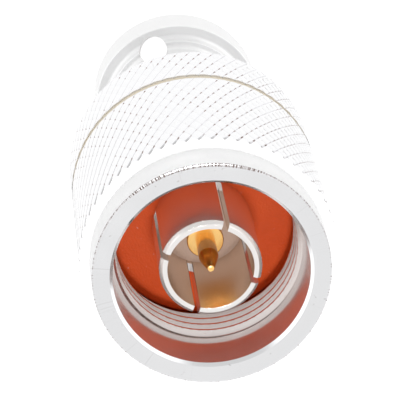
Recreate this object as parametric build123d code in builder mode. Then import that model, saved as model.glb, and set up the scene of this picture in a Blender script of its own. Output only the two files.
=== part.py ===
from build123d import *
from math import cos, pi, radians, sin
import os

os.makedirs("parts", exist_ok=True)

# A coaxial plug: a knurled coupling nut turns freely on a plain turned body,
# held by a split ring, round a slotted outer contact and a gold centre pin.
# The plug stands on the mouth of its cable barrel, with +Z towards the mating end.
# Depths run back from the front face of the coupling nut. Lengths are in millimetres.

# Clearances
seat_gap = 0.02            # between pieces that are pressed or pushed together
running_gap = 0.08         # radial, nut bearing on the body's shank
ring_side_gap = 0.05       # beside the split ring in the nut's groove
ring_root_gap = 0.1        # radial room below and above the ring
flange_gap = 0.3           # radial, body flange inside the nut
flange_room = 1.0          # axial, nut's inner shoulder behind the body flange
collar_gap = 1.0           # axial, body collar behind the nut
gasket_gap = 0.25          # radial, gasket inside the nut
gasket_bore_gap = 0.1      # radial, gasket round the outer contact
float_travel = 0.4         # axial play of the nut on the body

# Coupling nut
thread_minor_radius = 7.4
thread_length = 4.05
mouth_rise = 0.55          # plain mouth, radially outside the thread's crests
mouth_length = 4.2
mouth_flare = 0.25
lead_in_rise = 0.31        # cone at the thread's start, outside its crests
lead_in_length = 0.6
cavity_rise = 0.8          # relief behind the thread, outside its crests
nose_wall = 1.45
nose_length = 3.1
knurl_rise = 0.9           # crests of the knurl above the nose
knurl_depth = 0.32         # of the valleys between its pyramids
knurl_count = 32           # pyramids round the nut, at half the fineness of the real knurl
knurl_row_length = 2.0     # along the nut, from a row of crests to the next
knurl_edge = 0.35
knurl_bite = 0.3           # how far the knurled bands reach under the nose's radius
rear_band_length = 5.75
band_groove_width = 0.75
band_groove_cut = 0.45
bearing_length = 8.0

# Split ring and its two grooves
ring_set_back = 3.0        # behind the nut's inner shoulder
ring_thickness = 1.0
ring_bite_nut = 0.65       # how far the ring reaches into the nut
ring_bite_body = 0.55      # how far the ring reaches into the body
ring_mouth_angle = 26.0    # opening of the split

# Outer contact
contact_bore_radius = 3.5
contact_wall = 0.68
contact_front_depth = 1.15
contact_lead_in = 0.28
slot_width = 0.5
slot_length = 8.35
slot_count = 4
slot_turn = 45.0
contact_root_rise = 0.2    # thicker root behind the slots
contact_root_gap = 0.2     # between the slots and the root
contact_foot_rise = 1.42
contact_foot_length = 2.4

# Gasket
gasket_front_depth = 10.0
gasket_thickness = 1.6

# Body
flange_length = 2.4
flange_rise = 1.0          # flange above the shank
collar_wall = 1.65         # round the socket for the barrel
collar_length = 5.5
collar_edge = 0.4
wrench_flat_cut = 0.95
barrel_socket_length = 4.0

# Cable barrel
barrel_bore_radius = 5.2
neck_wall = 0.55
neck_length = 7.1          # in the open, behind the body
step_rise = 0.65
step_length = 0.9
step_wall = 0.5            # metal left round the counterbore
rim_rise = 1.1
rim_length = 3.5
rim_edge = 0.37
corner_slope = 0.45        # filling the inner corners of the step and rim

# Solder ports, drilled slanting in at the step
port_radius = 1.3
port_count = 4
port_turn = -94.5
port_lean = 68.0           # tilt of the drill from square, towards the nut
port_rise = 0.5            # centre of the port above the neck
port_set_forward = 0.7     # centre of the port in front of the step

# Dielectric beads
front_bead_length = 10.5
bead_head_length = 1.5

# Centre contact
shoulder_set_back = 5.45   # behind the front of the outer contact
pin_radius = 0.8
pin_straight_length = 3.2
pin_taper_length = 2.1
pin_tip_radius = 0.25
pin_tip_edge = 0.1
stem_radius = 1.52
stem_edge = 0.12
catch_rise = 0.68          # captive collar above the stem
catch_length = 1.5
cup_bore_radius = 1.2
cup_wall = 0.55
cup_length = 10.5
cup_bore_length = 4.5

# Radii that follow
mouth_radius = thread_minor_radius + mouth_rise
cavity_radius = thread_minor_radius + cavity_rise
nose_radius = cavity_radius + nose_wall
knurl_radius = nose_radius + knurl_rise
knurl_valley_radius = knurl_radius - knurl_depth
knurl_edge_radius = knurl_radius - knurl_edge
knurl_root_radius = nose_radius - knurl_bite
band_groove_radius = knurl_radius - band_groove_cut
flange_radius = cavity_radius - flange_gap
shank_radius = flange_radius - flange_rise
bearing_radius = shank_radius + running_gap
ring_outer_radius = bearing_radius + ring_bite_nut
ring_inner_radius = shank_radius - ring_bite_body
nut_ring_groove_radius = ring_outer_radius + ring_root_gap
body_ring_groove_radius = ring_inner_radius - ring_root_gap
contact_radius = contact_bore_radius + contact_wall
contact_root_radius = contact_radius + contact_root_rise
contact_foot_radius = contact_radius + contact_foot_rise
gasket_radius = cavity_radius - gasket_gap
gasket_bore_radius = contact_root_radius + gasket_bore_gap
neck_radius = barrel_bore_radius + neck_wall
collar_radius = neck_radius + collar_wall
wrench_flat_radius = collar_radius - wrench_flat_cut
step_radius = neck_radius + step_rise
rim_radius = step_radius + rim_rise
counterbore_radius = step_radius - step_wall
port_centre_radius = neck_radius + port_rise
port_reach = (port_centre_radius - barrel_bore_radius + port_radius) / cos(radians(port_lean))
catch_radius = stem_radius + catch_rise
cup_radius = cup_bore_radius + cup_wall

# Depths that follow
body_front_depth = gasket_front_depth + gasket_thickness
flange_end_depth = body_front_depth + flange_length
thread_end_depth = mouth_length + thread_length
cavity_end_depth = flange_end_depth + flange_room
nut_length = cavity_end_depth + bearing_length
band_groove_end_depth = nut_length - rear_band_length
band_groove_depth = band_groove_end_depth - band_groove_width
ring_depth = cavity_end_depth + ring_set_back
ring_end_depth = ring_depth + ring_thickness
slot_end_depth = contact_front_depth + slot_length
contact_root_depth = slot_end_depth + contact_root_gap
foot_end_depth = body_front_depth + contact_foot_length
collar_front_depth = nut_length + collar_gap
body_end_depth = collar_front_depth + collar_length
socket_depth = body_end_depth - barrel_socket_length
step_front_depth = body_end_depth + neck_length
counterbore_depth = step_front_depth + step_wall
port_centre_depth = step_front_depth - port_set_forward
rim_front_depth = step_front_depth + step_length
overall_length = rim_front_depth + rim_length
front_bead_end_depth = gasket_front_depth + front_bead_length
catch_depth = front_bead_end_depth - catch_length
rear_bead_head_depth = socket_depth + seat_gap
rear_bead_end_depth = rear_bead_head_depth + bead_head_length
shoulder_depth = contact_front_depth + shoulder_set_back
pin_taper_depth = shoulder_depth - pin_straight_length
pin_tip_depth = pin_taper_depth - pin_taper_length - pin_tip_edge
cup_end_depth = front_bead_end_depth + cup_length


def height(depth):
    """Height above the foot of the part of a place this far behind the nut's front face."""
    return overall_length - depth


def corners_round(depth, radius, next_radius):
    """Corners round the nut at one depth, with two radii taking turns."""
    corners = []
    for corner in range(2 * knurl_count):
        turn = pi * corner / knurl_count
        reach = next_radius if corner % 2 else radius
        corners.append(Vector(reach * cos(turn), reach * sin(turn), height(depth)))
    return corners


def knurled_band(front_depth, end_depth, front_edge, end_edge):
    """A closed ring of small pyramids, sloped off at its ends over the given lengths."""
    first_row_depth = front_depth + front_edge
    knurled_length = end_depth - end_edge - first_row_depth
    row_count = max(1, round(knurled_length / knurl_row_length))
    loops = []
    if front_edge:
        loops.append(corners_round(front_depth, knurl_edge_radius, knurl_edge_radius))
    for row in range(row_count + 1):
        radii = [knurl_radius, knurl_valley_radius] if len(loops) % 2 else [knurl_valley_radius, knurl_radius]
        loops.append(corners_round(first_row_depth + knurled_length * row / row_count, *radii))
    if end_edge:
        loops.append(corners_round(end_depth, knurl_edge_radius, knurl_edge_radius))
    loops.append(corners_round(end_depth, knurl_root_radius, knurl_root_radius))
    loops.append(corners_round(front_depth, knurl_root_radius, knurl_root_radius))

    faces = []
    for row, (loop, next_loop) in enumerate(zip(loops, loops[1:] + loops[:1])):
        for column in range(len(loop)):
            following = (column + 1) % len(loop)
            near, near_next = loop[column], loop[following]
            far, far_next = next_loop[column], next_loop[following]
            if (row + column) % 2:
                triangles = [(near, near_next, far), (near_next, far_next, far)]
            else:
                triangles = [(near, near_next, far_next), (near, far_next, far)]
            faces += [Face(Wire.make_polygon(triangle)) for triangle in triangles]
    return Solid(Shell(faces))


# Coupling nut, turned, with its thread bored plain to the crests and two knurled bands
with BuildPart() as coupling_nut:
    with BuildSketch(Plane.XZ):
        with BuildLine():
            Polyline(
                (mouth_radius + mouth_flare, height(0)),
                (nose_radius, height(0)),
                (nose_radius, height(nose_length + knurl_edge)),
                (band_groove_radius, height(nose_length + knurl_edge)),
                (band_groove_radius, height(nut_length - knurl_edge)),
                (nose_radius, height(nut_length - knurl_edge)),
                (nose_radius, height(nut_length)),
                (bearing_radius, height(nut_length)),
                (bearing_radius, height(ring_end_depth + ring_side_gap)),
                (nut_ring_groove_radius, height(ring_end_depth + ring_side_gap)),
                (nut_ring_groove_radius, height(ring_depth - ring_side_gap)),
                (bearing_radius, height(ring_depth - ring_side_gap)),
                (bearing_radius, height(cavity_end_depth)),
                (cavity_radius, height(cavity_end_depth)),
                (cavity_radius, height(thread_end_depth)),
                (thread_minor_radius, height(thread_end_depth)),
                (thread_minor_radius, height(mouth_length + lead_in_length)),
                (thread_minor_radius + lead_in_rise, height(mouth_length)),
                (mouth_radius, height(mouth_length)),
                (mouth_radius, height(mouth_flare)),
                close=True,
            )
        make_face()
    revolve(axis=Axis.Z)
    add(knurled_band(nose_length, band_groove_depth, knurl_edge, 0))
    add(knurled_band(band_groove_end_depth, nut_length, 0, knurl_edge))
coupling_nut.part.label = "coupling_nut"

# Split ring that holds the nut on the body
with BuildPart() as retaining_ring:
    with BuildSketch(Plane.XY.offset(height(ring_end_depth))):
        Circle(ring_outer_radius)
        Circle(ring_inner_radius, mode=Mode.SUBTRACT)
        with BuildLine():
            mouth_reach = 2 * ring_outer_radius
            half_mouth = radians(ring_mouth_angle / 2)
            Polyline(
                (0, 0),
                (mouth_reach * cos(half_mouth), mouth_reach * sin(half_mouth)),
                (mouth_reach * cos(half_mouth), -mouth_reach * sin(half_mouth)),
                close=True,
            )
        make_face(mode=Mode.SUBTRACT)
    extrude(amount=ring_thickness)
retaining_ring.part.label = "retaining_ring"

# Body, turned, with two wrench flats on the collar behind the nut
with BuildPart() as body:
    with BuildSketch(Plane.XZ):
        with BuildLine():
            Polyline(
                (contact_foot_radius + seat_gap, height(body_front_depth)),
                (flange_radius, height(body_front_depth)),
                (flange_radius, height(flange_end_depth)),
                (shank_radius, height(flange_end_depth)),
                (shank_radius, height(ring_depth - float_travel - ring_side_gap)),
                (body_ring_groove_radius, height(ring_depth - float_travel - ring_side_gap)),
                (body_ring_groove_radius, height(ring_end_depth + ring_side_gap)),
                (shank_radius, height(ring_end_depth + ring_side_gap)),
                (shank_radius, height(collar_front_depth)),
                (collar_radius, height(collar_front_depth)),
                (collar_radius, height(body_end_depth - collar_edge)),
                (collar_radius - collar_edge, height(body_end_depth)),
                (neck_radius + seat_gap, height(body_end_depth)),
                (neck_radius + seat_gap, height(socket_depth)),
                (contact_bore_radius + seat_gap, height(socket_depth)),
                (contact_bore_radius + seat_gap, height(foot_end_depth + seat_gap)),
                (contact_foot_radius + seat_gap, height(foot_end_depth + seat_gap)),
                close=True,
            )
        make_face()
    revolve(axis=Axis.Z)
    with BuildSketch(Plane.XY.offset(height(body_end_depth))):
        Circle(2 * collar_radius)
        Rectangle(4 * collar_radius, 2 * wrench_flat_radius, mode=Mode.SUBTRACT)
    extrude(amount=collar_length, mode=Mode.SUBTRACT)
body.part.label = "body"

# Cable barrel: a thin neck that steps out to a rim, with slanted solder ports at the step
with BuildPart() as cable_barrel:
    with BuildSketch(Plane.XZ) as barrel_section:
        with BuildLine():
            Polyline(
                (barrel_bore_radius, height(rear_bead_head_depth)),
                (neck_radius, height(rear_bead_head_depth)),
                (neck_radius, height(step_front_depth)),
                (step_radius, height(step_front_depth)),
                (step_radius, height(rim_front_depth)),
                (rim_radius, height(rim_front_depth)),
                (rim_radius, height(overall_length - rim_edge)),
                (rim_radius - rim_edge, height(overall_length)),
                (counterbore_radius, height(overall_length)),
                (counterbore_radius, height(counterbore_depth)),
                (barrel_bore_radius, height(counterbore_depth)),
                close=True,
            )
        make_face()
        for corner in [(neck_radius, height(step_front_depth)), (step_radius, height(rim_front_depth))]:
            chamfer(barrel_section.vertices().sort_by_distance(corner)[0], corner_slope)
    revolve(axis=Axis.Z)
    for port in range(port_count):
        turn = radians(port_turn + port * 360 / port_count)
        lean = radians(port_lean)
        port_centre = Vector(port_centre_radius * cos(turn), port_centre_radius * sin(turn))
        drill_way = Vector(cos(lean) * cos(turn), cos(lean) * sin(turn), sin(lean))
        drill_start = port_centre + Vector(0, 0, height(port_centre_depth)) - drill_way * port_reach
        with BuildSketch(Plane(origin=drill_start, z_dir=drill_way)):
            Circle(port_radius)
        extrude(amount=port_reach + 2 * port_radius + rim_radius - neck_radius, mode=Mode.SUBTRACT)
cable_barrel.part.label = "cable_barrel"

# Outer contact: a sprung tube slotted into four fingers, on a foot pressed into the body
with BuildPart() as outer_contact:
    with BuildSketch(Plane.XZ):
        with BuildLine():
            Polyline(
                (contact_bore_radius, height(contact_front_depth)),
                (contact_radius - contact_lead_in, height(contact_front_depth)),
                (contact_radius, height(contact_front_depth + contact_lead_in)),
                (contact_radius, height(contact_root_depth)),
                (contact_root_radius, height(contact_root_depth)),
                (contact_root_radius, height(body_front_depth)),
                (contact_foot_radius, height(body_front_depth)),
                (contact_foot_radius, height(foot_end_depth)),
                (contact_bore_radius, height(foot_end_depth)),
                close=True,
            )
        make_face()
    revolve(axis=Axis.Z)
    with BuildSketch(Plane.XY.offset(height(contact_front_depth))):
        with PolarLocations(contact_radius, slot_count, start_angle=slot_turn):
            Rectangle(contact_radius, slot_width)
    extrude(amount=contact_front_depth - slot_end_depth, mode=Mode.SUBTRACT)
outer_contact.part.label = "outer_contact"

# Silicone gasket that the mating connector presses on
with BuildPart() as gasket:
    with BuildSketch(Plane.XY.offset(height(body_front_depth))):
        Circle(gasket_radius)
        Circle(gasket_bore_radius, mode=Mode.SUBTRACT)
    extrude(amount=gasket_thickness)
gasket.part.label = "gasket"

# Front dielectric bead, bored for the pin and counterbored for its catch
with BuildPart() as front_bead:
    with BuildSketch(Plane.XZ):
        with BuildLine():
            Polyline(
                (stem_radius + seat_gap, height(gasket_front_depth)),
                (contact_bore_radius - seat_gap, height(gasket_front_depth)),
                (contact_bore_radius - seat_gap, height(front_bead_end_depth)),
                (catch_radius + seat_gap, height(front_bead_end_depth)),
                (catch_radius + seat_gap, height(catch_depth - seat_gap)),
                (stem_radius + seat_gap, height(catch_depth - seat_gap)),
                close=True,
            )
        make_face()
    revolve(axis=Axis.Z)
front_bead.part.label = "front_bead"

# Rear dielectric bead, with a head that sits in the mouth of the barrel
with BuildPart() as rear_bead:
    with BuildSketch(Plane.XZ):
        with BuildLine():
            Polyline(
                (cup_radius + seat_gap, height(front_bead_end_depth + seat_gap)),
                (contact_bore_radius - seat_gap, height(front_bead_end_depth + seat_gap)),
                (contact_bore_radius - seat_gap, height(rear_bead_head_depth)),
                (barrel_bore_radius - seat_gap, height(rear_bead_head_depth)),
                (barrel_bore_radius - seat_gap, height(rear_bead_end_depth)),
                (cup_radius + seat_gap, height(rear_bead_end_depth)),
                close=True,
            )
        make_face()
    revolve(axis=Axis.Z)
rear_bead.part.label = "rear_bead"

# Gold centre contact: tapered pin, shoulder, captive collar and solder cup
with BuildPart() as centre_contact:
    with BuildSketch(Plane.XZ):
        with BuildLine():
            Polyline(
                (0, height(pin_tip_depth)),
                (pin_tip_radius - pin_tip_edge, height(pin_tip_depth)),
                (pin_tip_radius, height(pin_tip_depth + pin_tip_edge)),
                (pin_radius, height(pin_taper_depth)),
                (pin_radius, height(shoulder_depth)),
                (stem_radius - stem_edge, height(shoulder_depth)),
                (stem_radius, height(shoulder_depth + stem_edge)),
                (stem_radius, height(catch_depth)),
                (catch_radius, height(catch_depth)),
                (catch_radius, height(front_bead_end_depth)),
                (cup_radius, height(front_bead_end_depth)),
                (cup_radius, height(cup_end_depth)),
                (cup_bore_radius, height(cup_end_depth)),
                (cup_bore_radius, height(cup_end_depth - cup_bore_length)),
                (0, height(cup_end_depth - cup_bore_length)),
                close=True,
            )
        make_face()
    revolve(axis=Axis.Z)
centre_contact.part.label = "centre_contact"

for piece in [
    coupling_nut, retaining_ring, body, cable_barrel, outer_contact,
    gasket, front_bead, rear_bead, centre_contact,
]:
    export_step(piece.part, f"parts/{piece.part.label}.step")
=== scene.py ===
import bmesh
import bpy
from math import atan2, cos, pi, radians, sin, tan
from mathutils import Matrix, Vector


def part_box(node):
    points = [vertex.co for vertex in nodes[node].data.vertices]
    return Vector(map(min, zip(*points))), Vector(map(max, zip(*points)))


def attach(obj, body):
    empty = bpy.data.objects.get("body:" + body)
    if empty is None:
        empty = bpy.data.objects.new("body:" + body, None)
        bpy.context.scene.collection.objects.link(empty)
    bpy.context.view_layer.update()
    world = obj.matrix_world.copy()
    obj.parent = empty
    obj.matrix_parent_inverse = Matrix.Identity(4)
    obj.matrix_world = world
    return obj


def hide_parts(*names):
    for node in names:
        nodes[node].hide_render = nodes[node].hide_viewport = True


# A coaxial plug seen into its mating end. Every depth runs back from the front face of
# the coupling nut, and the sizes below are in millimetres; the scene itself is in metres.

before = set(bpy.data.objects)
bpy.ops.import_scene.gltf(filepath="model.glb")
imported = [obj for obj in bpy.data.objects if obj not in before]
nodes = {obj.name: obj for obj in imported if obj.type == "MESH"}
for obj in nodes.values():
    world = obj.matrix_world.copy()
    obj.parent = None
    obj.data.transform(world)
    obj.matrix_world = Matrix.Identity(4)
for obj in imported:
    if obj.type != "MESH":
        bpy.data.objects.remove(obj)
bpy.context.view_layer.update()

MM = 0.001
nut_low, nut_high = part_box("coupling_nut")
front_height = nut_high.z
overall_length = front_height / MM

# Pieces that are pressed together overlap by this much
press_fit = 0.01

# Coupling nut, from its nose to its rear edge
knurl_radius = nut_high.x / MM
nut_length = (nut_high.z - nut_low.z) / MM
nose_radius = 9.65
nose_length = 3.1
nose_face_inset = 0.36
nose_finish_start = 0.06
band_groove_front = 16.5
band_groove_rear = 17.25
band_groove_radius = 10.1
band_groove_tan_radius = 10.38
knurl_rear_edge = 0.3
nut_columns = 512

# Rings of vertices round the nose: how far inside its radius, how deep, and how strongly the
# nicked edge marks them
nose_rings = [
    (0.2, 0, 0.8),
    (0.05, 0, 1.0),
    (0.015, 0.015, 1.0),
    (0, 0.06, 0.8),
    (0, 0.16, 0.3),
    (0, 0.3, 0.0),
    (0, 1.6, 0.0),
    (0, nose_length - 0.1, 0.0),
    (0, nose_length, 0.0),
]
nicked_side_turn = -107.0

# Inside of the nut, from the mouth to the rear edge
face_inner_radius = 8.2
mouth_radius = 7.95
mouth_flare = 0.25
mouth_middle = 2.0
mouth_length = 4.2
lead_in_radius = 7.71
lead_in_end = 4.8
thread_end = 8.25
thread_minor_radius = 7.4
thread_depth = 0.54
thread_pitch = 25.4 / 24
thread_crest_share = 0.2
thread_root_share = 0.125
thread_flank_steps = 4
cavity_radius = 8.2
cavity_end = 15.0
cavity_rounding = 0.2
bearing_radius = 6.98
bearing_rounding = 0.15
ring_groove_radius = 7.73
ring_groove_front = 17.95
ring_groove_rear = 19.05
nut_inner_columns = 256

# Diamond knurl: two families of grooves that cross, rolled round the nut. Its places are
# counted in grooves: around the nut, and along it in repeats of the pattern.
knurl_count = 64
knurl_repeat = 2.0
knurl_depth = 0.14
knurl_crown = 0.03
knurl_lines = 4
knurl_groove_half = 0.05
knurl_notch_half = 0.26
knurl_notch_reach = 0.5
knurl_shallow_family = 0.4
# Strength of the painted groove shade on the shallow family's grooves
knurl_shallow_shade = 0.5
knurl_front_spots = 0.25
knurl_spot_reach = 0.11

# Outer contact
contact_bore_radius = 3.5
contact_radius = 4.18
contact_front = 1.15
contact_chamfer = 0.3
contact_front_draft = 0.02
contact_slot_end = 9.5
contact_slot_width = 0.5
contact_slot_turn = 45.0
contact_slots = 4
contact_foot_radius = 5.6
contact_foot_front = 11.6
contact_foot_rear = 14.0
contact_edge_round = 0.04

# Cable barrel
barrel_bore_radius = 5.2
barrel_front = 25.52
barrel_cove = 0.45
neck_radius = 5.75
step_radius = 6.4
step_front = 36.6
rim_radius = 7.5
rim_front = 37.5
counterbore_radius = 5.9
counterbore_front = 37.1

# Slanted solder ports in the barrel's step
ports = 4
port_radius = 1.3
port_turn = -94.5
port_lean = 68.0
port_centre_radius = 6.25
port_centre_depth = 35.9
port_cutter_length = 9.6
port_cutter_shift = -0.5

# Gold centre contact
pin_front = 1.16
pin_tip_radius = 0.27
pin_tip_depth = 1.2
pin_radius = 0.8
pin_taper_end = 3.5
shoulder_radius = 1.52
shoulder_front = 6.6
collar_radius = 2.2
collar_front = 19.0
collar_rear = 20.5
cup_radius = 1.75
cup_rear = 31.0
cup_bore_radius = 1.2
cup_bore_end = 26.5

# Front bead, with a catch at its rear for the centre contact's collar
bead_bore_radius = 1.53
bead_catch_radius = 2.22
bead_catch_front = 18.98

# Silicone gasket
gasket_radius = 8.15
gasket_front = 10.0
gasket_rear = 11.6

# Body and split ring, which the scene takes from the solids
solid_edge_round = 0.08

# Camera, found from the round edges of the plug; the offsets are in metres
picture_size = 400
focal_pixels = 2757.7
camera_distance = 0.220
camera_elevation = 66.01
camera_azimuth = -16.5
camera_roll = 168.49
camera_offset_right = -0.000981
camera_offset_up = 0.005983
sensor_width = 36

# Studio, in metres: a floor that glows in a pool round the plug, a pale sky with a grey card
# on the camera's side, and a softbox overhead
floor_size = 3
floor_grey = 0.3
floor_glow = 0.70
floor_glow_seen = 0.28
lit_pool_radius = 0.03
lit_pool_end = 0.1
lit_pool_rest = 0.3
sky_strength = 1.3
sky_top_shade = 0.68
sky_shade_start = 0.45
sky_shade_end = 0.85
card_shade = 0.57
softbox_size = 0.1
softbox_power = 1.25
softbox_height = 0.6

# Material slots of the nut
plain_slot, groove_slot, thread_slot, nose_slot = range(4)

TOUCHING = 1e-7


def height(depth):
    """Height in metres of a place this many millimetres behind the nut's front face."""
    return front_height - depth * MM


def rounded(corners, steps=5):
    """An outline from (radius, depth, rounding) corners, each rounded corner drawn as an arc."""
    outline = []
    for index, (radius, depth, rounding) in enumerate(corners):
        corner = Vector((radius, depth))
        if not rounding:
            outline.append(corner)
            continue
        before = (Vector(corners[index - 1][:2]) - corner).normalized()
        after = (Vector(corners[(index + 1) % len(corners)][:2]) - corner).normalized()
        half = before.angle(after) / 2
        centre = corner + (before + after).normalized() * (rounding / sin(half))
        first = corner + before * (rounding / tan(half)) - centre
        last = corner + after * (rounding / tan(half)) - centre
        start = atan2(first.y, first.x)
        sweep = (atan2(last.y, last.x) - start + pi) % (2 * pi) - pi
        for step in range(steps + 1):
            turn = start + sweep * step / steps
            outline.append(centre + rounding * Vector((cos(turn), sin(turn))))
    return outline


def smooth_by_angle(mesh, limit=28):
    mesh.shade_smooth()
    mesh.set_sharp_from_angle(angle=radians(limit))


def from_bmesh(name, solid):
    """A piece in the scene from a finished solid."""
    bmesh.ops.recalc_face_normals(solid, faces=solid.faces)
    mesh = bpy.data.meshes.new(name)
    solid.to_mesh(mesh)
    solid.free()
    smooth_by_angle(mesh)
    piece = bpy.data.objects.new(name, mesh)
    bpy.context.scene.collection.objects.link(piece)
    return piece


def turned(name, outline, columns=192):
    """A closed solid turned round Z from a closed outline in radius and depth."""
    solid = bmesh.new()
    rings = []
    for radius, depth in outline:
        if radius < 1e-6:
            rings.append([solid.verts.new((0, 0, height(depth)))] * columns)
            continue
        rings.append([
            solid.verts.new((
                radius * MM * cos(2 * pi * column / columns),
                radius * MM * sin(2 * pi * column / columns),
                height(depth),
            ))
            for column in range(columns)
        ])
    for index, ring in enumerate(rings):
        following = rings[(index + 1) % len(rings)]
        if ring[0] is ring[1] and following[0] is following[1]:
            continue
        for column in range(columns):
            beside = (column + 1) % columns
            corners = [ring[column], ring[beside], following[beside], following[column]]
            solid.faces.new(list(dict.fromkeys(corners)))
    return from_bmesh(name, solid)


def cut(piece, cutter):
    """Subtracts the cutter from the piece for good and throws the cutter away."""
    subtraction = piece.modifiers.new("cut", "BOOLEAN")
    subtraction.operation = "DIFFERENCE"
    subtraction.solver = "EXACT"
    subtraction.object = cutter
    shape = piece.evaluated_get(bpy.context.evaluated_depsgraph_get())
    mesh = bpy.data.meshes.new_from_object(shape)
    piece.modifiers.clear()
    piece.data = mesh
    smooth_by_angle(mesh)
    bpy.data.objects.remove(cutter)


def even_shading(piece):
    """Broad faces keep their own normal beside a small round."""
    shading = piece.modifiers.new("even_shading", "WEIGHTED_NORMAL")
    shading.weight = 100
    shading.keep_sharp = True


def break_edges(piece, width):
    """A small round along the piece's sharp edges."""
    bevel = piece.modifiers.new("broken_edges", "BEVEL")
    bevel.width = width * MM
    bevel.segments = 2
    bevel.limit_method = "ANGLE"
    bevel.angle_limit = radians(40)
    bevel.harden_normals = True


# Coupling nut. Its vertices carry three values for its finish: how far they lie in a groove,
# which sets the painted groove shade, whether they belong to the knurl, which lets painted dark
# spots mark the crossings, and how strongly the nicked edge marks them.


def place(solid, layers, radius, turn, depth, values=(0.0, 0.0, 0.0)):
    """A vertex at a radius, turn and depth, with its values for the finish."""
    vertex = solid.verts.new((radius * MM * cos(turn), radius * MM * sin(turn), height(depth)))
    for layer, value in zip(layers, values):
        vertex[layer] = value
    return vertex


def plain_ring(solid, layers, radius, depth, columns, values=(0.0, 0.0, 0.0)):
    return [
        place(solid, layers, radius, 2 * pi * column / columns, depth, values)
        for column in range(columns)
    ]


def turn_of(vertex):
    """Turn of a vertex round Z, from 0 to 1."""
    return (atan2(vertex.co.y, vertex.co.x) / (2 * pi) + TOUCHING) % 1.0


def join_rings(solid, first, second, material=plain_slot):
    """Faces between two rings of vertices; rings with unlike vertices are zipped together."""
    if len(first) == len(second) and len(first) in (nut_columns, nut_inner_columns):
        for column in range(len(first)):
            beside = (column + 1) % len(first)
            corners = (first[column], first[beside], second[beside], second[column])
            solid.faces.new(corners).material_index = material
        return
    first_turns = [turn_of(vertex) for vertex in first[1:]] + [1.0]
    second_turns = [turn_of(vertex) for vertex in second[1:]] + [1.0]
    here = there = 0
    while here < len(first) or there < len(second):
        a, b = first[here % len(first)], second[there % len(second)]
        if there >= len(second) or (here < len(first) and first_turns[here] <= second_turns[there]):
            corners = (a, first[(here + 1) % len(first)], b)
            here += 1
        else:
            corners = (a, second[(there + 1) % len(second)], b)
            there += 1
        solid.faces.new(corners).material_index = material


def knurl_vertex(band, band_layers, first, second):
    """The vertex where a line of one family crosses a line of the other."""
    from_edge = (first - second) / (2 * knurl_lines)
    flare = min(max(1 - from_edge / knurl_notch_reach, 0.0), 1.0) ** 2
    half = knurl_groove_half + (knurl_notch_half - knurl_groove_half) * flare
    shares = (0.0, half, 0.5, 1 - half)
    leans = [line // knurl_lines + shares[line % knurl_lines] for line in (first, second)]
    around, along = sum(leans) / 2, (leans[0] - leans[1]) / 2
    deep, shallow = first % knurl_lines == 0, second % knurl_lines == 0
    middle = knurl_lines // 2
    fall = max(knurl_depth * deep, knurl_depth * knurl_shallow_family * shallow)
    if not (deep or shallow) and (first % knurl_lines != middle or second % knurl_lines != middle):
        fall = knurl_crown
    # Painted shade: how strongly the groove shade and the dark spots at the crossings mark this vertex
    knurled = knurl_front_spots if from_edge < knurl_notch_reach / 2 else 1.0
    values = (max(1.0 * deep, knurl_shallow_shade * shallow), knurled, 0.0)
    return place(
        band, band_layers, knurl_radius - fall, 2 * pi * around / knurl_count,
        nose_length + along * knurl_repeat, values,
    )


def knurled_faces(solid, layers, front, rear):
    """Diamond knurl between two depths; returns its first and last ring of vertices."""
    total = knurl_count * knurl_lines
    reach = [2 * knurl_lines * (depth - nose_length) / knurl_repeat for depth in (front, rear)]
    offsets = range(int(reach[0]) - 2 * knurl_lines, int(reach[1]) + 2 * knurl_lines)
    band = bmesh.new()
    band_layers = [band.verts.layers.float.new(layer.name) for layer in layers]
    grid = {
        (second, offset): knurl_vertex(band, band_layers, second + offset, second)
        for second in range(total)
        for offset in offsets
    }
    for second in range(total):
        beside = (second + 1) % total
        for offset in offsets[1:-1]:
            band.faces.new([
                grid[second, offset], grid[beside, offset - 1],
                grid[beside, offset], grid[second, offset + 1],
            ])
    for depth, side in ((front, 1), (rear, -1)):
        bmesh.ops.bisect_plane(
            band, geom=band.verts[:] + band.edges[:] + band.faces[:], dist=1e-8,
            plane_co=(0, 0, height(depth)), plane_no=(0, 0, side), clear_outer=True,
        )
    copies = {}
    for vertex in band.verts:
        copies[vertex] = solid.verts.new(vertex.co)
        for layer, band_layer in zip(layers, band_layers):
            copies[vertex][layer] = vertex[band_layer]
    for face in band.faces:
        solid.faces.new([copies[vertex] for vertex in face.verts])
    rings = []
    for depth in (front, rear):
        ring = [
            copies[vertex] for vertex in band.verts
            if abs(vertex.co.z - height(depth)) < TOUCHING
        ]
        rings.append(sorted(ring, key=lambda vertex: atan2(vertex.co.y, vertex.co.x) % (2 * pi)))
    band.free()
    return rings


def thread_surface(phase):
    """Radius of the inside thread at a share of one pitch, and how far it lies in the root."""
    share = phase % 1.0
    flank = (1 - thread_crest_share - thread_root_share) / 2
    if share < thread_crest_share:
        climb = 0.0
    elif share < thread_crest_share + flank:
        climb = (share - thread_crest_share) / flank
    elif share < thread_crest_share + flank + thread_root_share:
        climb = 1.0
    else:
        climb = (1 - share) / flank
    return thread_minor_radius + thread_depth * climb, climb


def thread_place(share, around):
    """Depth of a line of the thread at a turn, held between the thread's two ends."""
    depth = mouth_length + (share - around + 1) * thread_pitch
    return min(max(depth, mouth_length), thread_end)


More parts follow.
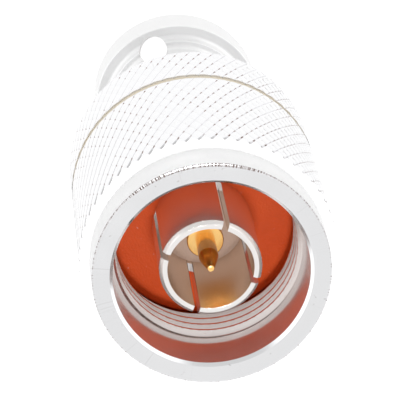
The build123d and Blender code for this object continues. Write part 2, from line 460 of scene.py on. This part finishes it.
def thread_faces(solid, layers):
    """The right-handed inside thread; returns its first and last ring of vertices."""
    flank = (1 - thread_crest_share - thread_root_share) / 2
    steps = thread_flank_steps
    root_end = thread_crest_share + flank + thread_root_share
    shares = [0]
    shares += [thread_crest_share + flank * step / steps for step in range(steps + 1)]
    shares += [root_end + flank * step / steps for step in range(steps)]
    turns = range(-1, int((thread_end - mouth_length) / thread_pitch) + 2)
    rows = [turn + share for turn in turns for share in shares]
    grid = {}
    ends = {mouth_length: {}, thread_end: {}}
    for column in range(nut_inner_columns + 1):
        around = column / nut_inner_columns
        for share in rows:
            depth = thread_place(share, around)
            key = (column % nut_inner_columns, round(depth, 5))
            if key in grid:
                continue
            radius, climb = thread_surface((depth - mouth_length) / thread_pitch + around)
            lead_in = (lead_in_end - depth) / (lead_in_end - mouth_length)
            lead_in_floor = thread_minor_radius + (lead_in_radius - thread_minor_radius) * lead_in
            # Where the painted dark lines along the thread fall: on its crests and in its roots
            lined = 1.0 if climb == 0 else climb
            grid[key] = place(
                solid, layers, max(radius, lead_in_floor), 2 * pi * around, depth, (lined, 0.0, 0.0)
            )
            if depth in ends:
                ends[depth][column % nut_inner_columns] = grid[key]
    for column in range(nut_inner_columns):
        around, beside = column / nut_inner_columns, (column + 1) / nut_inner_columns
        for share, following in zip(rows, rows[1:]):
            corners = []
            for turn, line in (
                (around, share), (beside, share), (beside, following), (around, following),
            ):
                where = round(turn * nut_inner_columns) % nut_inner_columns
                corners.append(grid[(where, round(thread_place(line, turn), 5))])
            corners = list(dict.fromkeys(corners))
            if len(corners) > 2:
                solid.faces.new(corners).material_index = thread_slot
    return [
        [ends[depth][column] for column in range(nut_inner_columns)]
        for depth in (mouth_length, thread_end)
    ]


def nut_outside(solid, layers, face):
    """Nose, both knurled bands and the groove between them; returns the rear edge."""
    previous = face
    for inset, depth, nicked in nose_rings:
        ring = plain_ring(
            solid, layers, nose_radius - inset, depth, nut_columns, (0.0, 0.0, nicked)
        )
        join_rings(solid, previous, ring, nose_slot if depth > nose_finish_start else plain_slot)
        previous = ring
    front_ring, rear_ring = knurled_faces(solid, layers, nose_length, band_groove_front)
    join_rings(solid, previous, front_ring, nose_slot)
    previous = rear_ring
    for radius, depth, material in [
        (band_groove_radius, band_groove_front, plain_slot),
        (band_groove_radius, band_groove_rear, groove_slot),
        (band_groove_tan_radius, band_groove_rear, groove_slot),
    ]:
        ring = plain_ring(solid, layers, radius, depth, nut_columns)
        join_rings(solid, previous, ring, material)
        previous = ring
    front_ring, rear_ring = knurled_faces(
        solid, layers, band_groove_rear, nut_length - knurl_rear_edge
    )
    join_rings(solid, previous, front_ring)
    ring = plain_ring(solid, layers, knurl_radius - knurl_rear_edge, nut_length, nut_columns)
    join_rings(solid, rear_ring, ring)
    return ring


def nut_inside(solid, layers, rear_edge):
    """From the rear edge through the ring's groove and the thread; returns the mouth."""
    previous = rear_edge
    bore = rounded([
        (bearing_radius, nut_length, bearing_rounding),
        (bearing_radius, ring_groove_rear, 0),
        (ring_groove_radius, ring_groove_rear, 0),
        (ring_groove_radius, ring_groove_front, 0),
        (bearing_radius, ring_groove_front, 0),
        (bearing_radius, cavity_end, 0),
        (cavity_radius, cavity_end, cavity_rounding),
        (cavity_radius, thread_end, 0),
    ])[1:]
    for radius, depth in bore:
        ring = plain_ring(solid, layers, radius, depth, nut_inner_columns)
        join_rings(solid, previous, ring)
        previous = ring
    thread_front, thread_rear = thread_faces(solid, layers)
    join_rings(solid, previous, thread_rear)
    previous = thread_front
    for depth in (mouth_length, mouth_middle, mouth_flare):
        ring = plain_ring(solid, layers, mouth_radius, depth, nut_inner_columns)
        join_rings(solid, previous, ring, thread_slot)
        previous = ring
    return previous


def make_nut():
    """The knurled nut with its inside thread, as one closed mesh."""
    solid = bmesh.new()
    layers = [solid.verts.layers.float.new(name) for name in ("sunk", "knurled", "nicked")]
    face = plain_ring(solid, layers, nose_radius - nose_face_inset, 0, nut_columns)
    rear_edge = nut_outside(solid, layers, face)
    mouth = nut_inside(solid, layers, rear_edge)
    face_inner = plain_ring(solid, layers, face_inner_radius, 0, nut_columns)
    join_rings(solid, mouth, face_inner)
    join_rings(solid, face_inner, face)
    return from_bmesh("knurled_nut", solid)


def make_contact():
    """The outer contact, slotted into four sprung fingers."""
    piece = turned("slotted_contact", rounded([
        (contact_bore_radius, contact_front, 0.03),
        (contact_radius - contact_chamfer, contact_front, 0.02),
        (contact_radius - contact_front_draft, contact_front + contact_chamfer, 0.1),
        (contact_radius, contact_foot_front, 0),
        (contact_foot_radius, contact_foot_front, 0),
        (contact_foot_radius, contact_foot_rear, 0),
        (contact_bore_radius, contact_foot_rear, 0),
    ]), 256)
    length = (contact_slot_end - contact_front) * 2
    for slot in range(contact_slots):
        turn = radians(contact_slot_turn + 360 / contact_slots * slot)
        cutter = bmesh.new()
        bmesh.ops.create_cube(cutter, size=1)
        size = (contact_radius * MM, contact_slot_width * MM, length * MM, 1)
        cutter.transform(Matrix.Diagonal(size))
        cutter.transform(Matrix.Translation((contact_radius * MM, 0, height(contact_front))))
        cutter.transform(Matrix.Rotation(turn, 4, "Z"))
        cut(piece, from_bmesh("slot_cutter", cutter))
    break_edges(piece, contact_edge_round)
    return piece


def make_barrel():
    """The cable barrel with its neck, step and rim, and four slanted solder ports."""
    piece = turned("cable_end_barrel", rounded([
        (barrel_bore_radius, barrel_front, 0),
        (neck_radius, barrel_front, 0),
        (neck_radius, step_front, barrel_cove),
        (step_radius, step_front, 0.1),
        (step_radius, rim_front, barrel_cove),
        (rim_radius, rim_front, 0.12),
        (rim_radius, overall_length, 0.35),
        (counterbore_radius, overall_length, 0.15),
        (counterbore_radius, counterbore_front, 0),
        (barrel_bore_radius, counterbore_front, 0),
    ]), 256)
    for port in range(ports):
        turn = radians(port_turn + 360 / ports * port)
        cutter = bmesh.new()
        bmesh.ops.create_cone(
            cutter, cap_ends=True, segments=64, radius1=port_radius * MM,
            radius2=port_radius * MM, depth=port_cutter_length * MM,
        )
        cutter.transform(Matrix.Translation((0, 0, port_cutter_shift * MM)))
        cutter.transform(Matrix.Rotation(radians(90 - port_lean), 4, "Y"))
        centre = (port_centre_radius * MM, 0, height(port_centre_depth))
        cutter.transform(Matrix.Translation(centre))
        cutter.transform(Matrix.Rotation(turn, 4, "Z"))
        cut(piece, from_bmesh("port_cutter", cutter))
    return piece


nut = make_nut()
contact = make_contact()
barrel = make_barrel()

pin = turned("centre_pin", rounded([
    (0, pin_front, 0),
    (pin_tip_radius, pin_tip_depth, 0.1),
    (pin_radius, pin_taper_end, 0.3),
    (pin_radius, shoulder_front, 0),
    (shoulder_radius, shoulder_front, 0.12),
    (shoulder_radius, collar_front, 0),
    (collar_radius, collar_front, 0),
    (collar_radius, collar_rear, 0),
    (cup_radius, collar_rear, 0),
    (cup_radius, cup_rear, 0.08),
    (cup_bore_radius, cup_rear, 0.08),
    (cup_bore_radius, cup_bore_end, 0),
    (0, cup_bore_end, 0),
]), 128)

# The front bead fills the contact's bore
bead_low, bead_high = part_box("front_bead")
bead_front = (front_height - bead_high.z) / MM
bead_rear = (front_height - bead_low.z) / MM
bead = turned("front_bead_ring", rounded([
    (bead_bore_radius, bead_front, 0),
    (contact_bore_radius + press_fit, bead_front, 0),
    (contact_bore_radius + press_fit, bead_rear, 0),
    (bead_catch_radius, bead_rear, 0),
    (bead_catch_radius, bead_catch_front, 0),
    (bead_bore_radius, bead_catch_front, 0),
]))

gasket = turned("front_gasket", rounded([
    (contact_radius - press_fit, gasket_front, 0),
    (gasket_radius, gasket_front, 0.3),
    (gasket_radius, gasket_rear, 0.2),
    (contact_radius - press_fit, gasket_rear, 0),
]))

for piece, body, node, finish in [
    (nut, "nut", "coupling_nut", "plated_metal"),
    (contact, "plug_body", "outer_contact", "spring_contact_plating"),
    (barrel, "plug_body", "cable_barrel", "plated_metal"),
    (pin, "plug_body", "centre_contact", "gold_plating"),
    (bead, "plug_body", "front_bead", "bead_dielectric"),
    (gasket, "plug_body", "gasket", "silicone"),
]:
    even_shading(piece)
    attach(piece, body)
    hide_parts(node)

# Node helpers


def feed(tree, socket, value):
    """Sets a socket to a number or a colour, or links another node's socket to it."""
    if isinstance(value, (int, float)):
        socket.default_value = value
    elif isinstance(value, tuple):
        socket.default_value = (*value, 1)[:4]
    else:
        tree.links.new(value, socket)


def add_math(tree, operation, *values):
    node = tree.nodes.new("ShaderNodeMath")
    node.operation = operation
    for socket, value in zip(node.inputs, values):
        feed(tree, socket, value)
    return node.outputs[0]


def add_range(tree, value, low, high, to_low=0.0, to_high=1.0):
    """Carries a value smoothly from one range to another."""
    node = tree.nodes.new("ShaderNodeMapRange")
    node.interpolation_type = "SMOOTHSTEP"
    labels = ("Value", "From Min", "From Max", "To Min", "To Max")
    for label, setting in zip(labels, (value, low, high, to_low, to_high)):
        feed(tree, node.inputs[label], setting)
    return node.outputs["Result"]


def add_mix(tree, share, first, second, blend="MIX"):
    """Mixes two colours."""
    node = tree.nodes.new("ShaderNodeMix")
    node.data_type = "RGBA"
    node.blend_type = blend
    feed(tree, node.inputs["Factor"], share)
    feed(tree, node.inputs[6], first)
    feed(tree, node.inputs[7], second)
    return node.outputs[2]


def add_noise(tree, vector, scale, detail=2.0, roughness=0.5):
    node = tree.nodes.new("ShaderNodeTexNoise")
    tree.links.new(vector, node.inputs["Vector"])
    feed(tree, node.inputs["Scale"], scale)
    feed(tree, node.inputs["Detail"], detail)
    feed(tree, node.inputs["Roughness"], roughness)
    return node.outputs["Fac"]


def add_vector(tree, *parts):
    node = tree.nodes.new("ShaderNodeCombineXYZ")
    for socket, part in zip(node.inputs, parts):
        feed(tree, socket, part)
    return node.outputs[0]


def add_distance(tree, first, second):
    """Length of the line from zero to a point with these two sides."""
    squares = [add_math(tree, "MULTIPLY", side, side) for side in (first, second)]
    return add_math(tree, "SQRT", add_math(tree, "ADD", *squares))


def point_on_piece(tree):
    return tree.nodes.new("ShaderNodeTexCoord").outputs["Object"]


def add_parts(tree, vector):
    """The X, Y and Z of a vector."""
    node = tree.nodes.new("ShaderNodeSeparateXYZ")
    tree.links.new(vector, node.inputs[0])
    return node.outputs


def add_turn(tree, parts):
    """Turn of a point round Z, in radians."""
    return add_math(tree, "ARCTAN2", parts["Y"], parts["X"])


# Effects that several finishes share, as shader groups


def new_group(name, inputs, outputs):
    """A shader group with the named inputs, each with its usual value, and the named outputs."""
    group = bpy.data.node_groups.new(name, "ShaderNodeTree")
    for label, value in inputs.items():
        kind = "NodeSocketColor" if isinstance(value, tuple) else "NodeSocketFloat"
        socket = group.interface.new_socket(label, in_out="INPUT", socket_type=kind)
        socket.default_value = value
    for label, kind in outputs.items():
        group.interface.new_socket(label, in_out="OUTPUT", socket_type=kind)
    entry = group.nodes.new("NodeGroupInput")
    leave = group.nodes.new("NodeGroupOutput")
    return group, entry.outputs, leave.inputs


def make_lathe_lines():
    """Fine rings left by the turning tool, on walls along Z and on faces across it."""
    group, entry, leave = new_group(
        "lathe_lines", {"Fineness": 9000.0}, {"Lines": "NodeSocketFloat"}
    )
    parts = add_parts(group, point_on_piece(group))
    radius = add_distance(group, parts["X"], parts["Y"])
    wander = 0.6
    section = add_vector(
        group,
        add_math(group, "MULTIPLY", radius, entry["Fineness"]),
        add_math(group, "MULTIPLY", parts["Z"], entry["Fineness"]),
        add_math(group, "MULTIPLY", add_turn(group, parts), wander),
    )
    lines = add_noise(group, section, scale=1.0)
    group.links.new(add_range(group, lines, 0.25, 0.75), leave["Lines"])
    return group


def make_handling_marks():
    """Soft smudges, fine scratches along the piece, and small specks."""
    group, entry, leave = new_group(
        "handling_marks", {"Smudge Scale": 180.0, "Scratch Amount": 0.5},
        {"Smudge": "NodeSocketFloat", "Scratch": "NodeSocketFloat", "Speck": "NodeSocketFloat"},
    )
    point = point_on_piece(group)
    parts = add_parts(group, point)
    smudge = add_noise(group, point, entry["Smudge Scale"], detail=4.0)
    group.links.new(add_range(group, smudge, 0.4, 0.7), leave["Smudge"])
    streaks_around, streaks_along = 38.0, 420.0
    strip = add_vector(
        group,
        add_math(group, "MULTIPLY", add_turn(group, parts), streaks_around),
        add_math(group, "MULTIPLY", parts["Z"], streaks_along),
    )
    streak = add_noise(group, strip, scale=1.0, detail=3.0, roughness=0.65)
    scratch = add_math(group, "MULTIPLY", add_range(group, streak, 0.6, 0.74), entry["Scratch Amount"])
    group.links.new(scratch, leave["Scratch"])
    speck = add_noise(group, point, scale=2600.0, detail=1.0)
    group.links.new(add_range(group, speck, 0.74, 0.8), leave["Speck"])
    return group


def make_knurl_crossings():
    """Spots where two grooves of the knurl cross, found from the place on the nut."""
    group, entry, leave = new_group(
        "knurl_crossings", {"Reach": 0.1}, {"Crossing": "NodeSocketFloat"}
    )
    parts = add_parts(group, point_on_piece(group))
    around = add_math(group, "MULTIPLY", add_turn(group, parts), knurl_count / (2 * pi))
    repeat = knurl_repeat * MM
    start = (front_height - nose_length * MM) / repeat
    along = add_math(group, "SUBTRACT", start, add_math(group, "MULTIPLY", parts["Z"], 1 / repeat))
    off_grooves = [
        add_math(group, "PINGPONG", add_math(group, operation, around, along), 0.5)
        for operation in ("ADD", "SUBTRACT")
    ]
    dark_share = 0.4
    inner = add_math(group, "MULTIPLY", entry["Reach"], dark_share)
    distance = add_distance(group, *off_grooves)
    spot = add_range(group, distance, inner, entry["Reach"], 1.0, 0.0)
    group.links.new(spot, leave["Crossing"])
    return group


def make_painted_recess_shade():
    """Painted shade: darkens the bottom of a groove and, darker still, the spot where two grooves
    cross.
    """
    group, entry, leave = new_group(
        "painted_recess_shade",
        {
            "Clean": (0.87, 0.87, 0.88, 1), "Line": (0.5, 0.48, 0.48, 1), "Spot": (0.2, 0.1, 0.08, 1),
            "Sunk": 0.0, "Crossing": 0.0, "Line Width": 0.3, "Spot Share": 0.5,
        },
        {"Color": "NodeSocketColor"},
    )
    edge = add_math(group, "SUBTRACT", 1.0, entry["Line Width"])
    line = add_range(group, entry["Sunk"], edge, 1.0)
    patches = add_noise(group, point_on_piece(group), scale=240.0)
    reach = add_math(group, "SUBTRACT", 1.0, entry["Spot Share"])
    present = add_range(group, patches, add_math(group, "SUBTRACT", reach, 0.1), reach)
    spot = add_math(group, "MULTIPLY", add_range(group, entry["Crossing"], 0.1, 0.6), present)
    lined = add_mix(group, line, entry["Clean"], entry["Line"])
    group.links.new(add_mix(group, spot, lined, entry["Spot"]), leave["Color"])
    return group


def make_nicked_edge():
    """Short dark nicks along a turned edge, close and long on one side, rare elsewhere."""
    group, entry, leave = new_group("nicked_edge", {"Nicked": 0.0}, {"Dark": "NodeSocketFloat"})
    turn = add_turn(group, add_parts(group, point_on_piece(group)))
    nicks_around = 80.0
    nicks = add_noise(group, add_vector(group, turn), scale=nicks_around)
    off_side = add_math(group, "SUBTRACT", turn, radians(nicked_side_turn))
    worst = add_math(group, "COSINE", off_side)
    reach = add_range(group, worst, -0.2, 0.9, 0.54, 0.46)
    nick = add_range(group, nicks, reach, add_math(group, "ADD", reach, 0.06))
    inner = add_range(group, worst, 0.8, 0.97, 0.84, 0.35)
    outer = add_math(group, "ADD", inner, 0.15)
    dark = add_math(group, "MULTIPLY", nick, add_range(group, entry["Nicked"], inner, outer))
    group.links.new(dark, leave["Dark"])
    return group


def make_fine_mottle():
    """Cloudy and fine-grained variation of a moulded surface."""
    group, entry, leave = new_group(
        "fine_mottle", {"Cloud Scale": 220.0, "Grain Scale": 5200.0},
        {"Cloud": "NodeSocketFloat", "Grain": "NodeSocketFloat"},
    )
    point = point_on_piece(group)
    for label, detail in (("Cloud", 3.0), ("Grain", 2.0)):
        noise = add_noise(group, point, entry[f"{label} Scale"], detail)
        group.links.new(add_range(group, noise, 0.3, 0.7), leave[label])
    return group


lathe_lines = make_lathe_lines()
handling_marks = make_handling_marks()
knurl_crossings = make_knurl_crossings()
painted_recess_shade = make_painted_recess_shade()
nicked_edge = make_nicked_edge()
fine_mottle = make_fine_mottle()

# Materials


def shader_of(material):
    return material.node_tree.nodes["Principled BSDF"]


def new_material(name):
    material = bpy.data.materials.new(name)
    material.use_nodes = True
    return material, material.node_tree, shader_of(material)


def add_group(tree, group, **values):
    """Places a shared group in a material; names stand with spaces for underscores."""
    node = tree.nodes.new("ShaderNodeGroup")
    node.node_tree = group
    for name, value in values.items():
        feed(tree, node.inputs[name.replace("_", " ")], value)
    return node.outputs


def add_bump(tree, shader, height_value, distance):
    bump = tree.nodes.new("ShaderNodeBump")
    bump.inputs["Distance"].default_value = distance
    bump.inputs["Strength"].default_value = 1.0
    tree.links.new(height_value, bump.inputs["Height"])
    tree.links.new(bump.outputs["Normal"], shader.inputs["Normal"])


def mesh_value(tree, name):
    """The value that the mesh carries under this name."""
    layer = tree.nodes.new("ShaderNodeAttribute")
    layer.attribute_name = name
    return layer.outputs["Fac"]


def source_of(shader, label):
    """The socket that already feeds a socket of the shader."""
    return shader.inputs[label].links[0].from_socket


def turned_metal(name, color, worn_color, roughness, rougher, metallic=1.0, scratch_amount=0.5):
    """A turned and plated surface: lathe lines, smudges, scratches and specks."""
    material, tree, shader = new_material(name)
    lines = add_group(tree, lathe_lines, Fineness=9000.0)
    marks = add_group(tree, handling_marks, Smudge_Scale=180.0, Scratch_Amount=scratch_amount)
    speck_share, line_share, smudge_share = 0.5, 0.4, 0.6
    specks = add_math(tree, "MULTIPLY", marks["Speck"], speck_share)
    worn = add_math(tree, "MAXIMUM", marks["Scratch"], specks)
    tree.links.new(add_mix(tree, worn, color, worn_color), shader.inputs["Base Color"])
    rough = add_math(
        tree, "ADD",
        add_math(tree, "MULTIPLY", lines["Lines"], line_share),
        add_math(tree, "MULTIPLY", marks["Smudge"], smudge_share),
    )
    roughness_here = add_range(tree, rough, 0.0, 1.0, roughness, rougher)
    tree.links.new(roughness_here, shader.inputs["Roughness"])
    shader.inputs["Metallic"].default_value = metallic
    return material


def nut_plating():
    """Bright plating with painted shade in the knurl's grooves, darker painted shade where they cross,
    and matt in the nicks.
    """
    material = turned_metal(
        "nut_plating", color=(0.87, 0.87, 0.88), worn_color=(0.62, 0.6, 0.6),
        roughness=0.1, rougher=0.17, scratch_amount=0.3,
    )
    tree, shader = material.node_tree, shader_of(material)
    sunk, knurled, nicked = [mesh_value(tree, name) for name in ("sunk", "knurled", "nicked")]
    # Painted shade along the knurl's grooves, and darker painted spots where two grooves cross
    spots = add_group(tree, knurl_crossings, Reach=knurl_spot_reach)
    with_painted_shade = add_group(
        tree, painted_recess_shade, Clean=source_of(shader, "Base Color"), Line=(0.78, 0.76, 0.77),
        Spot=(0.24, 0.12, 0.09), Sunk=sunk, Line_Width=0.5, Spot_Share=0.5,
        Crossing=add_math(tree, "MULTIPLY", spots["Crossing"], knurled),
    )
    dark = add_group(tree, nicked_edge, Nicked=nicked)["Dark"]
    nick_color, nick_roughness = (0.14, 0.1, 0.09), 0.85
    nicked_color = add_mix(tree, dark, with_painted_shade["Color"], nick_color)
    tree.links.new(nicked_color, shader.inputs["Base Color"])
    tree.links.new(add_math(tree, "SUBTRACT", 1.0, dark), shader.inputs["Metallic"])
    rough = add_math(
        tree, "MAXIMUM", source_of(shader, "Roughness"),
        add_math(tree, "MULTIPLY", dark, nick_roughness),
    )
    tree.links.new(rough, shader.inputs["Roughness"])
    return material


def thread_plating():
    """The plating inside the nut, darker and pinker than outside, with painted dark lines along the
    thread.
    """
    material = turned_metal(
        "thread_plating", color=(0.74, 0.68, 0.66), worn_color=(0.6, 0.5, 0.46),
        roughness=0.16, rougher=0.26, metallic=0.82, scratch_amount=0.4,
    )
    tree, shader = material.node_tree, shader_of(material)
    # Painted dark lines along the thread
    with_painted_shade = add_group(
        tree, painted_recess_shade, Clean=source_of(shader, "Base Color"), Line=(0.58, 0.48, 0.44),
        Sunk=mesh_value(tree, "sunk"), Line_Width=0.4,
    )
    tree.links.new(with_painted_shade["Color"], shader.inputs["Base Color"])
    return material


def moulded(name, color, cloud_color, roughness, rougher, specular):
    """A moulded soft material, cloudy in colour with a fine grain."""
    material, tree, shader = new_material(name)
    mottle = add_group(tree, fine_mottle, Cloud_Scale=220.0, Grain_Scale=5200.0)
    marks = add_group(tree, handling_marks, Smudge_Scale=120.0, Scratch_Amount=0.0)
    cloud_share, dust_share, grain_depth = 0.7, 0.25, 0.00001
    dust_color = (0.9, 0.8, 0.74)
    clouds = add_math(tree, "MULTIPLY", mottle["Cloud"], cloud_share)
    dust = add_math(tree, "MULTIPLY", marks["Speck"], dust_share)
    dusty = add_mix(tree, dust, add_mix(tree, clouds, color, cloud_color), dust_color)
    tree.links.new(dusty, shader.inputs["Base Color"])
    roughness_here = add_range(tree, marks["Smudge"], 0.0, 1.0, roughness, rougher)
    tree.links.new(roughness_here, shader.inputs["Roughness"])
    shader.inputs["Specular IOR Level"].default_value = specular
    add_bump(tree, shader, mottle["Grain"], grain_depth)
    return material


# The band groove's tan is a painted warm reflection, and the groove is nearly matt so that it stays
# bright between its walls
groove_painted_reflection = turned_metal(
    "groove_painted_reflection", color=(0.95, 0.88, 0.75), worn_color=(0.75, 0.62, 0.47),
    roughness=0.3, rougher=0.45, metallic=0.1,
)
nose_plating = turned_metal(
    "nose_plating", color=(0.87, 0.87, 0.87), worn_color=(0.8, 0.79, 0.79),
    roughness=0.46, rougher=0.52, metallic=0.82, scratch_amount=0.1,
)
barrel_plating = turned_metal(
    "barrel_plating", color=(0.93, 0.93, 0.93), worn_color=(0.88, 0.87, 0.86),
    roughness=0.3, rougher=0.34, metallic=0.75, scratch_amount=0.05,
)
contact_plating = turned_metal(
    "contact_plating", color=(0.86, 0.83, 0.81), worn_color=(0.92, 0.9, 0.88),
    roughness=0.16, rougher=0.22, metallic=0.84, scratch_amount=0.25,
)
# Inside the contact's bore: a warmer, darker copy of the contact plating, painted warm reflection of
# the gold pin and orange gasket, and painted shade
bore_painted_reflection = turned_metal(
    "bore_painted_reflection", color=(0.82, 0.7, 0.6), worn_color=(0.78, 0.66, 0.54),
    roughness=0.22, rougher=0.27, scratch_amount=0.2,
)
gold = turned_metal(
    "gold", color=(0.97, 0.6, 0.22), worn_color=(0.95, 0.7, 0.36),
    roughness=0.18, rougher=0.28, scratch_amount=0.2,
)
orange_silicone = moulded(
    "orange_silicone", color=(0.78, 0.1, 0.014), cloud_color=(0.7, 0.08, 0.01),
    roughness=0.45, rougher=0.6, specular=0.2,
)
bead_plastic = moulded(
    "bead_plastic", color=(0.64, 0.47, 0.38), cloud_color=(0.6, 0.44, 0.35),
    roughness=0.35, rougher=0.5, specular=0.4,
)

# The nut's finishes stand in the order of its slots
for finish in (nut_plating(), groove_painted_reflection, thread_plating(), nose_plating):
    nut.data.materials.append(finish)
contact.data.materials.append(contact_plating)
contact.data.materials.append(bore_painted_reflection)
# Faces inside the bore take the painted warm reflection and shade
for face in contact.data.polygons:
    if Vector(face.center[:2]).length < (contact_bore_radius + 0.02) * MM:
        face.material_index = 1
barrel.data.materials.append(barrel_plating)
pin.data.materials.append(gold)
bead.data.materials.append(bead_plastic)
gasket.data.materials.append(orange_silicone)
for name, material in [
    ("body", barrel_plating), ("retaining_ring", contact_plating), ("rear_bead", bead_plastic),
]:
    nodes[name].material_slots[0].material = material
    weld = nodes[name].modifiers.new("weld", "WELD")
    weld.merge_threshold = 1e-6
    if name in ("body", "retaining_ring"):
        break_edges(nodes[name], solid_edge_round)

# Floor

bpy.ops.mesh.primitive_plane_add(size=floor_size, location=(0, 0, 0))
floor = bpy.context.object
floor.name = "floor"
floor_material, floor_tree, floor_shader = new_material("pale_floor")
floor_shader.inputs["Base Color"].default_value = (floor_grey, floor_grey, floor_grey, 1)
floor_shader.inputs["Roughness"].default_value = 0.8
floor_shader.inputs["Emission Color"].default_value = (1, 1, 1, 1)
seen = floor_tree.nodes.new("ShaderNodeLightPath").outputs["Is Camera Ray"]
glow = add_math(floor_tree, "MULTIPLY_ADD", seen, floor_glow_seen, floor_glow)
from_plug = floor_tree.nodes.new("ShaderNodeVectorMath")
from_plug.operation = "LENGTH"
on_floor = floor_tree.nodes.new("ShaderNodeTexCoord")
floor_tree.links.new(on_floor.outputs["Object"], from_plug.inputs[0])
pool = add_range(
    floor_tree, from_plug.outputs["Value"], lit_pool_radius, lit_pool_end, 1.0, lit_pool_rest
)
lit = add_math(floor_tree, "MULTIPLY", glow, pool)
floor_tree.links.new(lit, floor_shader.inputs["Emission Strength"])
floor.data.materials.append(floor_material)

# Sky, darker overhead, with the grey card on the camera's side

scene = bpy.context.scene
world = bpy.data.worlds.new("studio")
world.use_nodes = True
scene.world = world
sky = world.node_tree
background = sky.nodes["Background"]
background.inputs["Strength"].default_value = sky_strength
direction = sky.nodes.new("ShaderNodeTexCoord").outputs["Generated"]
upward = add_parts(sky, direction)["Z"]
shades = sky.nodes.new("ShaderNodeValToRGB")
sky.links.new(upward, shades.inputs["Fac"])
pale, dim = shades.color_ramp.elements
pale.position = sky_shade_start
pale.color = (1, 1, 1, 1)
dim.position = sky_shade_end
dim.color = (sky_top_shade, sky_top_shade, sky_top_shade, 1)
towards_camera = sky.nodes.new("ShaderNodeVectorMath")
towards_camera.operation = "DOT_PRODUCT"
sky.links.new(direction, towards_camera.inputs[0])
camera_side = radians(camera_azimuth)
towards_camera.inputs[1].default_value = (sin(camera_side), -cos(camera_side), 0)
card = add_math(
    sky, "MULTIPLY",
    add_range(sky, towards_camera.outputs["Value"], 0.6, 0.8),
    add_range(sky, upward, 0.02, 0.15),
)
card_grey = add_mix(sky, card, (1, 1, 1), (card_shade, card_shade, card_shade))
sky_color = add_mix(sky, 1, shades.outputs["Color"], card_grey, blend="MULTIPLY")
sky.links.new(sky_color, background.inputs["Color"])

# Softbox overhead

softbox_data = bpy.data.lights.new("overhead_softbox", "AREA")
softbox_data.shape = "DISK"
softbox_data.size = softbox_size
softbox_data.energy = softbox_power
softbox = bpy.data.objects.new("overhead_softbox", softbox_data)
softbox.location = (0, 0, softbox_height)
scene.collection.objects.link(softbox)
scene.view_settings.view_transform = "Standard"
scene.view_settings.look = "None"

# Camera

camera_data = bpy.data.cameras.new("camera")
camera = bpy.data.objects.new("camera", camera_data)
scene.collection.objects.link(camera)
scene.camera = camera
camera_data.sensor_width = sensor_width
camera_data.lens = sensor_width * focal_pixels / picture_size
camera_data.clip_start = 0.01
camera_data.clip_end = 10
azimuth, elevation, roll = radians(camera_azimuth), radians(camera_elevation), radians(camera_roll)
spin = Matrix.Rotation(azimuth, 3, "Z")
forward = spin @ Vector((0, cos(elevation), -sin(elevation)))
level_right = spin @ Vector((1, 0, 0))
level_up = spin @ Vector((0, sin(elevation), cos(elevation)))
right = cos(roll) * level_right + sin(roll) * level_up
up = -sin(roll) * level_right + cos(roll) * level_up
place_of_camera = (
    Vector((0, 0, front_height)) + camera_offset_right * right + camera_offset_up * up
    - camera_distance * forward
)
camera.matrix_world = Matrix.Translation(place_of_camera) @ Matrix(
    (right, up, -forward)
).transposed().to_4x4()
